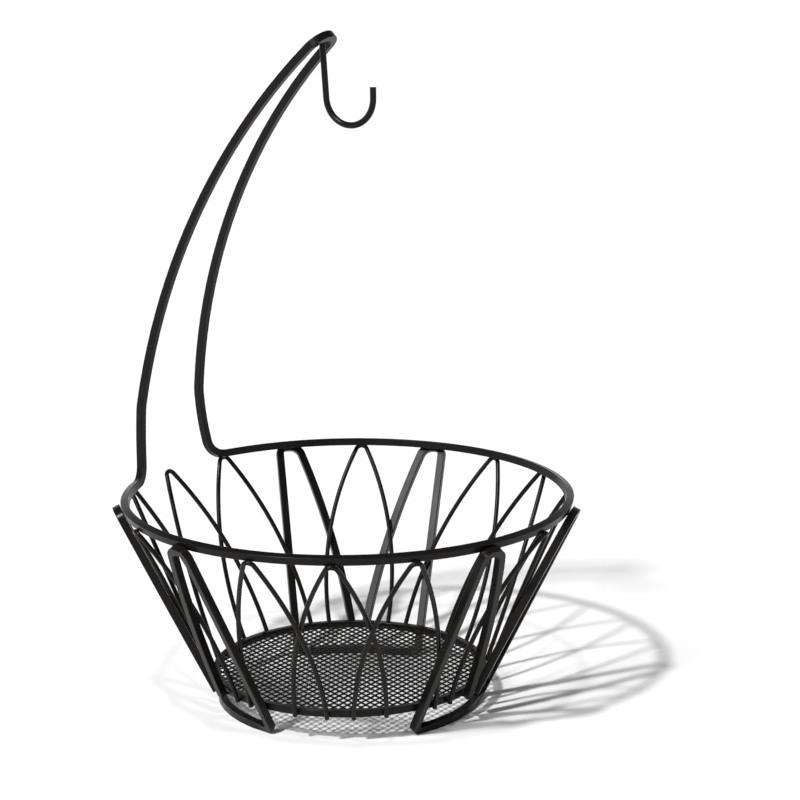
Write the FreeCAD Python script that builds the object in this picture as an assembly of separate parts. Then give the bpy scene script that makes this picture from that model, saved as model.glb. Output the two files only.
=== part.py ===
import FreeCAD, Part
import math
import os

from FreeCAD import Vector

# Wire fruit bowl with a banana hanger, in millimetres.
# The origin is on the table under the middle of the bowl, +Z is up, the front is -Y.

# Rim and base ring
rim_radius = 142.75
rim_height = 135.0
rim_bar = 5.0
rim_tilt = 15.0
ring_outer_radius = 89.5
ring_bottom = 17.0
ring_bar = 4.5
bar_edge = 0.5

# Hanger, the same bar as the rim
rim_end_side = 51.5
rim_end_straight = 4.0
rim_end_twist = 5.9
hanger_foot_radius = 13.5
hanger_foot_turn = 78.6
hanger_foot_lean = 4.4
hanger_narrowing = 4.88
hanger_sway_radius = 222.0
hanger_knee_radius = 40.0
hanger_knee_turn = 8.04
hanger_bow_radius = 397.7
hanger_tip_rise = 287.0

# Banana hook
hook_wire = 4.0
hook_behind_tip = 2.0
hook_radius = 17.5
hook_lean = 4.0
hook_drop = 37.2
hook_end = 7.0

# Foot frames
frame_bar = 5.0
frame_turn = 15.6
frame_leg_side = 19.5
frame_leg_lean = 0.5
frame_corner_radius = 4.0
frame_twist_length = 12.0
frame_below_rim = 0.2
frame_outer_bend = 4.5
frame_top_flat = 3.0
frame_inner_bend = 8.0
frame_inner_lean = 17.6
frame_inner_end_side = 20.2
frame_inner_end_height = 17.5

# Wall loops
loop_wire = 3.0
loop_bend = 4.0
loop_seat_angle = 48.0
loop_lean = 24.0
loop_end_height = 16.9
loop_gap = 0.02
pair_spread = 12.65
side_spread_near = 19.4
side_spread_far = 14.75
middle_spread = 18.2
pair_bow = 7.78
side_bow_near = 7.04
side_bow_far = 0.6
middle_bow = 5.84

# Base mesh
mesh_thick = 1.2
mesh_below_ring_top = 0.6
mesh_margin = 2.5
mesh_pitch_x = 16.8
mesh_pitch_y = 24.8
mesh_strand = 2.4
mesh_turn = -57.4

up = Vector(0, 0, 1)
mirror_plane = (Vector(0, 0, 0), Vector(1, 0, 0))


def sin(angle):
    return math.sin(math.radians(angle))


def cos(angle):
    return math.cos(math.radians(angle))


def outward(angle):
    # Level direction from the axis, the angle counted from the front towards +X
    return Vector(sin(angle), -cos(angle), 0)


def polar(radius, angle, height):
    return outward(angle) * radius + up * height


def unit(vector):
    return vector * (1.0 / vector.Length)


def turned(vector, axis, angle):
    return FreeCAD.Rotation(axis, angle).multVec(vector)


def reach(bar, angle):
    # Distance from a rounded square bar's middle to a flat laid against its corner
    flat = bar / 2 - bar_edge
    return flat * (cos(angle) + sin(angle)) + bar_edge


def square_outline(centre, tangent, side, bar):
    other = tangent.cross(side)
    half = bar / 2
    flat = half - bar_edge
    round_in = bar_edge * (1 - cos(45))
    edges = []
    for quarter in range(4):
        a = side * cos(90 * quarter) + other * sin(90 * quarter)
        b = side * cos(90 * quarter + 90) + other * sin(90 * quarter + 90)
        face_start = centre + a * half - b * flat
        face_end = centre + a * half + b * flat
        corner_mid = centre + (a + b) * (half - round_in)
        corner_end = centre + b * half + a * flat
        edges.append(Part.makeLine(face_start, face_end))
        edges.append(Part.Arc(face_end, corner_mid, corner_end).toShape())
    return Part.Wire(edges)


def round_outline(centre, tangent, wire):
    return Part.Wire(Part.makeCircle(wire / 2, centre, tangent))


def bend_bar(outline, at, way, moves):
    # Lengths and bends one after another, each carrying the outline on to the next
    skins = []
    for move in moves:
        if move[0] == "line":
            step = way * move[1]
            skins.append(outline.extrude(step))
            outline = outline.translated(step)
            at = at + step
            continue
        if move[0] == "twist":
            start = outline
            outline = outline.translated(way * move[1])
            at = at + way * move[1]
            outline.rotate(at, way, move[2])
            skins.append(Part.makeLoft([start, outline], False, True))
            continue
        if move[0] == "arc":
            toward, radius, angle = move[1:]
        if move[0] == "to":
            toward = move[1] - at
            off = math.degrees(way.getAngle(toward))
            radius = toward.Length / (2 * sin(off))
            angle = 2 * off
        inward = unit(toward - way * toward.dot(way))
        axis = way.cross(inward)
        centre = at + inward * radius
        skins.append(outline.revolve(centre, axis, angle))
        outline = outline.copy()
        outline.rotate(centre, axis, angle)
        at = centre + turned(at - centre, axis, angle)
        way = unit(turned(way, axis, angle))
    return skins, outline, at, way


def closed(skins):
    # One solid from skins that meet edge to edge
    faces = []
    for skin in skins:
        faces.extend(skin.Faces)
    shell = Part.makeCompound(faces)
    shell.sewShape()
    solid = Part.makeSolid(Part.makeShell(shell.Faces))
    if solid.Volume < 0:
        solid.reverse()
    return solid


def with_mirror(skins):
    return closed(skins + [skin.mirror(*mirror_plane) for skin in skins])


# Wall lean from the two circles that the foot frames lie against
ring_middle_radius = ring_outer_radius - ring_bar / 2
ring_middle_height = ring_bottom + ring_bar / 2
frame_grip_side = frame_leg_side - frame_bar / 2
frame_lean = 26.0
for step in range(8):
    wall_top = rim_radius + reach(rim_bar, frame_lean - rim_tilt) / cos(frame_lean)
    grip = ring_middle_radius + reach(ring_bar, frame_lean) / cos(frame_lean)
    wall_low = math.sqrt(grip ** 2 - frame_grip_side ** 2)
    frame_lean = math.degrees(math.atan2(wall_top - wall_low, rim_height - ring_middle_height))


def frame_distance(height):
    # Level distance from the axis to the middle of the foot frames' bar
    inner = wall_top - math.tan(math.radians(frame_lean)) * (rim_height - height)
    return inner + frame_bar / 2 / cos(frame_lean)


def make_rim_and_hanger():
    side = outward(0) * cos(rim_tilt) - up * sin(rim_tilt)
    start = polar(rim_radius, 0, rim_height)
    way = Vector(1, 0, 0)
    outline = square_outline(start, way, side, rim_bar)
    rim_turn = 180 - math.degrees(math.asin(rim_end_side / rim_radius))
    up_and_back = Vector(0, sin(hanger_foot_lean), cos(hanger_foot_lean))
    moves = [("arc", Vector(0, 1, 0), rim_radius, rim_turn),
             ("twist", rim_end_straight, rim_end_twist),
             ("arc", up_and_back, hanger_foot_radius, hanger_foot_turn)]
    rim, outline, at, way = bend_bar(outline, start, way, moves)

    # Each arm sways until it stands in a plane that only leans sideways
    arm_way = Vector(-sin(hanger_narrowing), 0, cos(hanger_narrowing))
    sway_turn = math.degrees(way.getAngle(arm_way))
    forward = Vector(0, -1, 0)
    moves = [("arc", arm_way, hanger_sway_radius, sway_turn),
             ("arc", forward, hanger_knee_radius, hanger_knee_turn)]
    sway, outline, at, way = bend_bar(outline, at, way, moves)

    # Long bow up to the top bend, and the half of that bend up to the mirror plane
    climb = (rim_height + hanger_tip_rise - at.z) / cos(hanger_narrowing) / hanger_bow_radius
    bow_turn = math.degrees(math.asin(sin(hanger_knee_turn) + climb)) - hanger_knee_turn
    bow, outline, at, way = bend_bar(outline, at, way, [("arc", forward, hanger_bow_radius, bow_turn)])
    tip_lean = math.degrees(math.asin(-way.x))
    moves = [("arc", Vector(-1, 0, 0), at.x / cos(tip_lean), 90 - tip_lean)]
    tip_facing = unit(Vector(0, way.y, way.z))
    tip, outline, at, way = bend_bar(outline, at, way, moves)
    return with_mirror(rim + sway + bow + tip), at, tip_facing


def make_hook(tip, tip_facing):
    # From the free end round the bend and up the stem, which is cut along the inside of the hanger's top
    bend_height = tip.z - hook_drop
    start = Vector(0, tip.y + hook_behind_tip - 2 * hook_radius, bend_height + hook_end)
    down = Vector(0, 0, -1)
    back = Vector(0, 1, 0)
    moves = [("line", hook_end),
             ("arc", back, hook_radius, 180 - hook_lean),
             ("line", hook_drop + hook_wire / 2)]
    outline = round_outline(start, down, hook_wire)
    skins, last, at, way = bend_bar(outline, start, down, moves)
    whole = closed([Part.Face(outline), Part.Face(last)] + skins)
    inside = tip - tip_facing * (rim_bar / 2)
    reach_past = hook_radius * 2
    beyond = Part.makeBox(reach_past, reach_past, reach_past, Vector(-hook_radius, -hook_radius, 0))
    beyond.Placement = FreeCAD.Placement(inside, FreeCAD.Rotation(up, tip_facing)) * beyond.Placement
    return whole.cut(beyond).Solids[0]


def make_base_ring():
    start = polar(ring_middle_radius, 0, ring_middle_height)
    outline = square_outline(start, Vector(1, 0, 0), outward(0), ring_bar)
    half = [outline.revolve(Vector(0, 0, 0), up, 180)]
    return with_mirror(half)


def make_foot_frame():
    radial = outward(frame_turn)
    away = turned(radial, up, 90)
    slope_up = radial * sin(frame_lean) + up * cos(frame_lean)
    lying_height = reach(frame_bar, frame_lean)

    # Foot bar, half of it, then the length in which the bar turns over to the wall's lean
    corner_side = frame_leg_side - frame_corner_radius
    twist_start = (radial * frame_distance(lying_height) + up * lying_height
                   + away * (corner_side - frame_twist_length))
    foot_radius = twist_start.x / sin(frame_turn)
    start = Vector(0, twist_start.y + foot_radius * (cos(frame_turn) - 1), frame_bar / 2)
    way = Vector(1, 0, 0)
    outline = square_outline(start, way, outward(0), frame_bar)
    foot, flat, at, way = bend_bar(outline, start, way, [("arc", Vector(0, 1, 0), foot_radius, frame_turn)])
    at = at + away * frame_twist_length + up * (lying_height - frame_bar / 2)
    leaning = square_outline(at, way, radial * cos(frame_lean) - up * sin(frame_lean), frame_bar)
    twist = Part.makeLoft([flat, leaning], False, True)

    # Corner, outer leg, top bend and inner leg, all in one leaning plane
    top_middle = rim_height - frame_below_rim - reach(frame_bar, frame_lean)
    tilt = sin(frame_leg_lean)
    leg = ((top_middle - lying_height) / cos(frame_lean) - frame_corner_radius * (1 + tilt)
           - frame_outer_bend * (1 - tilt)) / cos(frame_leg_lean)
    end = (radial * frame_distance(frame_inner_end_height) - away * frame_inner_end_side
           + up * frame_inner_end_height)
    moves = [("arc", slope_up, frame_corner_radius, 90 + frame_leg_lean),
             ("line", leg),
             ("arc", -away, frame_outer_bend, 90 - frame_leg_lean),
             ("line", frame_top_flat),
             ("arc", -slope_up, frame_inner_bend, 90 - frame_inner_lean),
             ("to", end)]
    legs, last, at, way = bend_bar(leaning, at, way, moves)
    return with_mirror(foot + [twist] + legs + [Part.Face(last)])


def make_wall_loop(angle, spreads, bows):
    radial = outward(angle)
    across = turned(radial, up, 90)
    seat = reach(rim_bar, loop_seat_angle - rim_tilt) + loop_wire / 2 + loop_gap
    top = polar(rim_radius + seat * cos(loop_seat_angle), angle, rim_height - seat * sin(loop_seat_angle))
    end_radius = ring_outer_radius + loop_wire / 2 + loop_gap
    chord = radial * (end_radius * cos(sum(spreads) / 2)) + up * loop_end_height - top
    skins = []
    for direction, spread, bow in ((-1, spreads[0], bows[0]), (1, spreads[1], bows[1])):
        down = unit(turned(chord, across, bow))
        way = across * direction
        end = polar(end_radius, angle + direction * spread, loop_end_height)
        outline = round_outline(top, across, loop_wire)
        moves = [("arc", down, loop_bend, 90 - loop_lean), ("to", end)]
        leg, last, at, way = bend_bar(outline, top, way, moves)
        skins += leg + [Part.Face(last)]
    return closed(skins)


def make_base_mesh():
    radius = ring_outer_radius - ring_bar
    top = ring_bottom + ring_bar - mesh_below_ring_top
    disc = Part.makeCylinder(radius, mesh_thick, Vector(0, 0, top - mesh_thick))
    across = mesh_pitch_x / 2
    along = mesh_pitch_y / 2
    shrink = mesh_strand / 2 * math.hypot(across, along) / along
    half_x = across - shrink
    half_y = half_x * along / across
    open_area = Part.makeCylinder(radius - mesh_margin, mesh_thick, Vector(0, 0, top - mesh_thick))
    gaps = []
    rows = int(radius / along) + 1
    columns = int(radius / mesh_pitch_x) + 1
    for row in range(-rows, rows + 1):
        for column in range(-columns, columns + 1):
            middle = Vector((column + 0.5 * (row % 2)) * mesh_pitch_x, row * along, top - mesh_thick)
            if math.hypot(middle.x, middle.y) > radius - mesh_margin:
                continue
            corners = [middle + Vector(half_x, 0, 0), middle + Vector(0, half_y, 0),
                       middle - Vector(half_x, 0, 0), middle - Vector(0, half_y, 0)]
            gap = Part.Face(Part.makePolygon(corners + corners[:1])).extrude(up * mesh_thick)
            if max(math.hypot(corner.x, corner.y) for corner in corners) > radius - mesh_margin:
                gap = gap.common(open_area)
            gaps.append(gap)
    openings = Part.makeCompound(gaps)
    openings.rotate(Vector(0, 0, 0), up, mesh_turn)
    return disc.cut(openings).Solids[0]


def write(name, shape):
    shape.exportStep("parts/" + name + ".step")


os.makedirs("parts", exist_ok=True)
rim, tip, tip_facing = make_rim_and_hanger()
write("rim_and_hanger", rim)
write("banana_hook", make_hook(tip, tip_facing))
write("base_ring", make_base_ring())
write("base_mesh", make_base_mesh())
frame = make_foot_frame()
for third in range(3):
    angle = 120 * third
    placed = frame.copy()
    placed.rotate(Vector(0, 0, 0), up, angle)
    write("foot_frame_%d" % (third + 1), placed)
    write("pair_loop_%d" % (third + 1),
          make_wall_loop(angle, (pair_spread, pair_spread), (pair_bow, pair_bow)))
    write("middle_loop_%d" % (third + 1),
          make_wall_loop(angle + 60, (middle_spread, middle_spread), (middle_bow, middle_bow)))
    write("side_loop_left_%d" % (third + 1),
          make_wall_loop(angle + 40, (side_spread_near, side_spread_far), (side_bow_near, side_bow_far)))
    write("side_loop_right_%d" % (third + 1),
          make_wall_loop(angle - 40, (side_spread_far, side_spread_near), (side_bow_far, side_bow_near)))
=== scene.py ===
import math

import bpy
from mathutils import Matrix, Vector


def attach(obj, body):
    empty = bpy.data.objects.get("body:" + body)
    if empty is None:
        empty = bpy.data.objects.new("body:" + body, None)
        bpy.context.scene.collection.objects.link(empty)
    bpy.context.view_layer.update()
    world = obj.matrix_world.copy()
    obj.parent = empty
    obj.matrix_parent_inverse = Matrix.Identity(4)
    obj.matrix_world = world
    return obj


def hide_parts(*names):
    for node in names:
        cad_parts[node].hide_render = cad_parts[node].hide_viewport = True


# Wire fruit bowl with a banana hanger: finishes, fine base mesh, weld beads, light and camera

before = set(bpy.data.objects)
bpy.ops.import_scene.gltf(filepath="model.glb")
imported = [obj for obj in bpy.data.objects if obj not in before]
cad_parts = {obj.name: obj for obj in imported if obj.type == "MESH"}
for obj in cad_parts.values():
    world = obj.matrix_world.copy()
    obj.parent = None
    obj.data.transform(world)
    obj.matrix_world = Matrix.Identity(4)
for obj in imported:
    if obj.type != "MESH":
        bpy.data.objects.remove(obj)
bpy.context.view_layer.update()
print("frame loaded:", len(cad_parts), "pieces")

mm = 0.001  # sizes below are in millimetres


def polar(radius, angle, height):
    # angle in degrees from the front towards +X, the same as in the part's source
    turn = math.radians(angle)
    return Vector((radius * math.sin(turn), -radius * math.cos(turn), height)) * mm


def pickNone():
    bpy.ops.object.select_all(action="DESELECT")


def finishPiece(piece, name, material, smoothAngle):
    # place goes into the mesh, faces are shaded smooth and the piece rides on the body
    pickNone()
    piece.select_set(True)
    bpy.context.view_layer.objects.active = piece
    bpy.ops.object.transform_apply(location=True, rotation=True, scale=True)
    bpy.ops.object.shade_smooth_by_angle(angle=math.radians(smoothAngle))
    piece.name = name
    piece.data.materials.clear()
    piece.data.materials.append(material)
    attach(piece, "root")


# satin black powder coat, baked on the wire; grain and clouds in millimetres
coat = {"colour": (0.0046, 0.0036, 0.0030), "paler": (0.0080, 0.0065, 0.0055),
        "roughness": 0.28, "roughSpread": 0.10, "shine": 0.14,
        "grainSize": 0.7, "grainDetail": 2, "bump": 0.10, "bumpDepth": 0.1,
        "cloudSize": 18, "cloudDetail": 4, "cloudLow": 0.3, "cloudHigh": 0.7}
beadCoat = dict(coat, roughness=0.42, bump=0.25, grainSize=1.1)
meshCoat = dict(coat, roughness=0.46, bump=0.15, shine=0.12)


def addSocket(group, name, kind, way, value=None):
    socket = group.interface.new_socket(name=name, in_out=way, socket_type=kind)
    if value is not None:
        socket.default_value = value


def buildPowderGroup():
    # orange peel of baked powder: fine grain for the bump, slow clouds for tone and gloss
    group = bpy.data.node_groups.new("powderCoatGrain", "ShaderNodeTree")
    addSocket(group, "Grain Size", "NodeSocketFloat", "INPUT", coat["grainSize"])
    addSocket(group, "Cloud Size", "NodeSocketFloat", "INPUT", coat["cloudSize"])
    addSocket(group, "Clouds", "NodeSocketFloat", "OUTPUT")
    addSocket(group, "Grain", "NodeSocketFloat", "OUTPUT")
    nodes, links = group.nodes, group.links
    inputs, outputs = nodes.new("NodeGroupInput"), nodes.new("NodeGroupOutput")
    place = nodes.new("ShaderNodeTexCoord")
    for size, output, detail in (("Grain Size", "Grain", coat["grainDetail"]),
                                 ("Cloud Size", "Clouds", coat["cloudDetail"])):
        perMetre = nodes.new("ShaderNodeMath")
        perMetre.operation = "DIVIDE"
        perMetre.inputs[0].default_value = 1 / mm
        noise = nodes.new("ShaderNodeTexNoise")
        noise.inputs["Detail"].default_value = detail
        links.new(inputs.outputs[size], perMetre.inputs[1])
        links.new(perMetre.outputs[0], noise.inputs["Scale"])
        links.new(place.outputs["Object"], noise.inputs["Vector"])
        links.new(noise.outputs["Fac"], outputs.inputs[output])
    return group


powderGrain = buildPowderGroup()


def powderMaterial(name, look):
    material = bpy.data.materials.new(name)
    material.use_nodes = True
    nodes, links = material.node_tree.nodes, material.node_tree.links
    shader = nodes["Principled BSDF"]
    grain = nodes.new("ShaderNodeGroup")
    grain.node_tree = powderGrain
    grain.inputs["Grain Size"].default_value = look["grainSize"]
    grain.inputs["Cloud Size"].default_value = look["cloudSize"]
    tone = nodes.new("ShaderNodeMix")
    tone.data_type = "RGBA"
    tone.inputs["A"].default_value = (*look["colour"], 1)
    tone.inputs["B"].default_value = (*look["paler"], 1)
    gloss = nodes.new("ShaderNodeMapRange")
    gloss.inputs["From Min"].default_value = look["cloudLow"]
    gloss.inputs["From Max"].default_value = look["cloudHigh"]
    gloss.inputs["To Min"].default_value = look["roughness"] - look["roughSpread"] / 2
    gloss.inputs["To Max"].default_value = look["roughness"] + look["roughSpread"] / 2
    bump = nodes.new("ShaderNodeBump")
    bump.inputs["Strength"].default_value = look["bump"]
    bump.inputs["Distance"].default_value = look["bumpDepth"] * mm
    links.new(grain.outputs["Clouds"], tone.inputs["Factor"])
    links.new(tone.outputs["Result"], shader.inputs["Base Color"])
    links.new(grain.outputs["Clouds"], gloss.inputs["Value"])
    links.new(gloss.outputs["Result"], shader.inputs["Roughness"])
    links.new(grain.outputs["Grain"], bump.inputs["Height"])
    links.new(bump.outputs["Normal"], shader.inputs["Normal"])
    shader.inputs["Specular IOR Level"].default_value = look["shine"]
    return material


satinBlack = powderMaterial("satinBlackWire", coat)
beadBlack = powderMaterial("paintedWeldBead", beadCoat)
meshBlack = powderMaterial("paintedExpandedMesh", meshCoat)
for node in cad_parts.values():
    node.data.materials.clear()
    node.data.materials.append(satinBlack)
print("finishes done")

# base mesh: expanded metal, zigzag strands side by side that meet at their bonds
mesh = {"across": 5.7, "along": 8.4, "bond": 1.4, "strand": 1.6, "thick": 0.75, "tilt": 38,
        "edgeRadius": 86.6, "middle": 20.2, "turn": 57.4, "spare": 2, "strandCorners": 16, "near": 0.01}


def repeatPiece(piece, step, number):
    array = piece.modifiers.new("repeat", "ARRAY")
    array.use_relative_offset = False
    array.use_constant_offset = True
    array.constant_offset_displace = step
    array.count = number
    bpy.ops.object.modifier_apply(modifier=array.name)


def selectEnd(piece, axis, place):
    # the vertices of one end, by their place along an axis
    bpy.ops.mesh.select_all(action="DESELECT")
    bpy.ops.object.mode_set(mode="OBJECT")
    for vertex in piece.data.vertices:
        vertex.select = abs(vertex.co[axis] - place) < mesh["near"] * mm
    for polygon in piece.data.polygons:
        polygon.select = all(piece.data.vertices[corner].select for corner in polygon.vertices)
    bpy.ops.object.mode_set(mode="EDIT")


def extrudeTo(across, along):
    bpy.ops.mesh.extrude_region_move(TRANSFORM_OT_translate={"value": (across * mm, along * mm, 0)})


def buildStrand():
    # half a wave: half a bond, the slanted strand and half the next bond
    halfBond, slanted = mesh["bond"] / 2, mesh["along"] / 2 - mesh["bond"]
    bpy.ops.mesh.primitive_cube_add(size=1, location=(0, 0, 0))
    strand = bpy.context.object
    bpy.ops.object.mode_set(mode="EDIT")
    bpy.context.tool_settings.mesh_select_mode = (False, False, True)
    bpy.ops.mesh.select_all(action="SELECT")
    bpy.ops.transform.resize(value=(mesh["strand"] * mm, halfBond * mm, mesh["thick"] * mm))
    bpy.ops.transform.rotate(value=math.radians(mesh["tilt"]), orient_axis="Y",
                             center_override=(0, 0, 0))
    bpy.ops.transform.translate(value=(0, halfBond / 2 * mm, 0))
    selectEnd(strand, 1, halfBond * mm)
    extrudeTo(mesh["across"] / 2, slanted)
    extrudeTo(0, halfBond)
    bpy.ops.object.mode_set(mode="OBJECT")
    return strand


def buildBaseMesh():
    strand = buildStrand()
    half = mesh["along"] / 2
    # the second half wave is the first one mirrored, and the next row starts with it
    bpy.ops.object.mode_set(mode="EDIT")
    bpy.ops.mesh.select_all(action="SELECT")
    bpy.ops.mesh.duplicate()
    bpy.ops.transform.mirror(constraint_axis=(True, False, False), center_override=(0, 0, 0))
    bpy.ops.mesh.flip_normals()
    bpy.ops.transform.translate(value=(mesh["across"] / 2 * mm, half * mm, 0))
    bpy.ops.object.mode_set(mode="OBJECT")
    columns = 2 * math.ceil(mesh["edgeRadius"] / mesh["across"]) + mesh["spare"]
    waves = 2 * math.ceil(mesh["edgeRadius"] / mesh["along"]) + mesh["spare"]
    repeatPiece(strand, (0, mesh["along"] * mm, 0), waves)
    bpy.ops.object.mode_set(mode="EDIT")
    bpy.ops.mesh.select_all(action="SELECT")
    bpy.ops.mesh.duplicate()
    bpy.ops.transform.translate(value=(mesh["across"] / 2 * mm, half * mm, 0))
    bpy.ops.object.mode_set(mode="OBJECT")
    repeatPiece(strand, (mesh["across"] * mm, 0, 0), columns)
    bpy.ops.object.mode_set(mode="EDIT")
    bpy.ops.mesh.select_all(action="SELECT")
    bpy.ops.transform.translate(value=(-columns / 2 * mesh["across"] * mm,
                                       -waves / 2 * mesh["along"] * mm, 0))
    bpy.ops.transform.rotate(value=math.radians(mesh["turn"]), orient_axis="Z",
                             center_override=(0, 0, 0))
    bpy.ops.transform.translate(value=(0, 0, mesh["middle"] * mm))
    bpy.ops.mesh.select_all(action="DESELECT")
    bpy.ops.object.mode_set(mode="OBJECT")
    keepInsideRing(strand, mesh["strandCorners"])
    return strand


def keepInsideRing(piece, corners):
    # whole strands outside the ring go, so that every end left runs into the ring's bar
    points = piece.data.vertices
    for start in range(0, len(points), corners):
        middle = sum((points[start + corner].co for corner in range(corners)), Vector()) / corners
        if math.hypot(middle.x, middle.y) > mesh["edgeRadius"] * mm:
            for corner in range(corners):
                points[start + corner].select = True
    bpy.ops.object.mode_set(mode="EDIT")
    bpy.context.tool_settings.mesh_select_mode = (True, False, False)
    bpy.ops.mesh.delete(type="VERT")
    bpy.ops.object.mode_set(mode="OBJECT")


pickNone()
fineMesh = buildBaseMesh()
finishPiece(fineMesh, "fineBaseMesh", meshBlack, smoothAngle=30)
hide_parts("base_mesh")
print("base mesh done:", len(fineMesh.data.polygons), "faces")

# weld beads where the wires meet; angles in degrees from the front, or from a foot frame's middle
beads = {"length": 3.4, "width": 1.7, "segments": 12, "rings": 8,
         "rimRadius": 144.7, "rimHeight": 132.1, "ringRadius": 89.7, "ringHeight": 17.6,
         "frames": (0, 120, 240), "frameTop": 17.4, "frameLegs": (3.0, 26.6), "rimGap": 180}
loopAngles = {"pair": (0,), "side": (40, -40), "middle": (60,)}
loopSpreads = {"pair": (12.65, 12.65), "side": (19.4, 14.75), "middle": (18.2, 18.2)}


def beadPlaces():
    places = []
    for third in beads["frames"]:
        for kind, angles in loopAngles.items():
            for angle in angles:
                # the loop in the gap of the rim has a free top
                if third + angle != beads["rimGap"]:
                    places.append((beads["rimRadius"], third + angle, beads["rimHeight"]))
                near, far = loopSpreads[kind]
                away = 1 if angle >= 0 else -1
                for spread in (-near * away, far * away):
                    places.append((beads["ringRadius"], third + angle + spread, beads["ringHeight"]))
        for side in (-1, 1):
            places.append((beads["rimRadius"], third + side * beads["frameTop"], beads["rimHeight"]))
            for leg in beads["frameLegs"]:
                places.append((beads["ringRadius"], third + side * leg, beads["ringHeight"]))
    return places


def buildBeads():
    bpy.ops.mesh.primitive_uv_sphere_add(segments=beads["segments"], ring_count=beads["rings"], radius=0.5)
    bead = bpy.context.object
    bpy.ops.object.mode_set(mode="EDIT")
    bpy.ops.mesh.select_all(action="SELECT")
    bpy.ops.transform.resize(value=(beads["length"] * mm, beads["width"] * mm, beads["width"] * mm))
    bpy.ops.object.mode_set(mode="OBJECT")
    copies = []
    for radius, angle, height in beadPlaces():
        copy = bead.copy()
        copy.data = bead.data.copy()
        bpy.context.collection.objects.link(copy)
        copy.data.transform(Matrix.Translation(polar(radius, angle, height))
                            @ Matrix.Rotation(math.radians(angle), 4, "Z"))
        copies.append(copy)
    bpy.data.objects.remove(bead)
    pickNone()
    for copy in copies:
        copy.select_set(True)
    bpy.context.view_layer.objects.active = copies[0]
    bpy.ops.object.join()
    return bpy.context.object


weldBeads = buildBeads()
finishPiece(weldBeads, "weldBeads", beadBlack, smoothAngle=60)
print("weld beads done")

# floor, lamps and world; lamp angles in degrees, and sky heights from 0 at the horizon to 1 overhead
studio = {"floorColour": (0.92, 0.92, 0.92), "floorSize": 120, "floorRoughness": 0.9, "floorShine": 0.1,
          "skyTop": 0.10, "skyEdge": 1.0, "edgeBelow": 0.12, "topAbove": 0.45,
          "keyStrength": 2.55, "keyAngle": 4.0, "keyFrom": (-0.81, 0.11, 1.0),
          "fillStrength": 0.45, "fillAngle": 3.0, "fillFrom": (-0.38, -0.12, 1.0),
          "sideStrength": 1.2, "sideAngle": 16.0, "sideFrom": (-0.79, 0.11, 0.60)}


def sunFrom(name, toward, strength, angle):
    data = bpy.data.lights.new(name, "SUN")
    data.energy = strength
    data.angle = math.radians(angle)
    lamp = bpy.data.objects.new(name, data)
    bpy.context.collection.objects.link(lamp)
    lamp.rotation_euler = Vector(toward).to_track_quat("Z", "Y").to_euler()


def buildWorld():
    # a pale horizon all round under a dim ceiling, so that upper faces stay dark and show the lamps
    world = bpy.data.worlds.new("studioWorld")
    bpy.context.scene.world = world
    world.use_nodes = True
    nodes, links = world.node_tree.nodes, world.node_tree.links
    place, parts = nodes.new("ShaderNodeTexCoord"), nodes.new("ShaderNodeSeparateXYZ")
    strength = nodes.new("ShaderNodeMapRange")
    strength.inputs["From Min"].default_value = studio["edgeBelow"]
    strength.inputs["From Max"].default_value = studio["topAbove"]
    strength.inputs["To Min"].default_value = studio["skyEdge"]
    strength.inputs["To Max"].default_value = studio["skyTop"]
    links.new(place.outputs["Generated"], parts.inputs["Vector"])
    links.new(parts.outputs["Z"], strength.inputs["Value"])
    links.new(strength.outputs["Result"], nodes["Background"].inputs["Strength"])
    nodes["Background"].inputs["Color"].default_value = (1, 1, 1, 1)


def buildFloor():
    bpy.ops.mesh.primitive_plane_add(size=studio["floorSize"], location=(0, 0, 0))
    floor = bpy.context.object
    floor.name = "studioFloor"
    material = bpy.data.materials.new("paleFloor")
    material.use_nodes = True
    shader = material.node_tree.nodes["Principled BSDF"]
    shader.inputs["Base Color"].default_value = (*studio["floorColour"], 1)
    shader.inputs["Roughness"].default_value = studio["floorRoughness"]
    shader.inputs["Specular IOR Level"].default_value = studio["floorShine"]
    floor.data.materials.append(material)


pickNone()
buildWorld()
buildFloor()
sunFrom("keyLamp", studio["keyFrom"], studio["keyStrength"], studio["keyAngle"])
sunFrom("fillLamp", studio["fillFrom"], studio["fillStrength"], studio["fillAngle"])
sunFrom("sideLamp", studio["sideFrom"], studio["sideStrength"], studio["sideAngle"])

# camera of the photo; place in metres, roll in degrees, lens and sensor in millimetres
camera = {"place": (-1.2418, -0.8397, 0.5480), "toward": (0.81894, 0.52689, -0.22736),
          "roll": -0.49, "lens": 108.4, "sensor": 36}
cameraData = bpy.data.cameras.new("photoCamera")
cameraData.lens = camera["lens"]
cameraData.sensor_width = camera["sensor"]
photoCamera = bpy.data.objects.new("photoCamera", cameraData)
bpy.context.collection.objects.link(photoCamera)
photoCamera.location = camera["place"]
aim = Vector(camera["toward"]).to_track_quat("-Z", "Y")
rolled = aim.to_matrix() @ Matrix.Rotation(math.radians(camera["roll"]), 3, "Z")
photoCamera.rotation_euler = rolled.to_euler()
bpy.context.scene.camera = photoCamera
bpy.context.scene.view_settings.view_transform = "Standard"
print("floor, lamps and camera done")
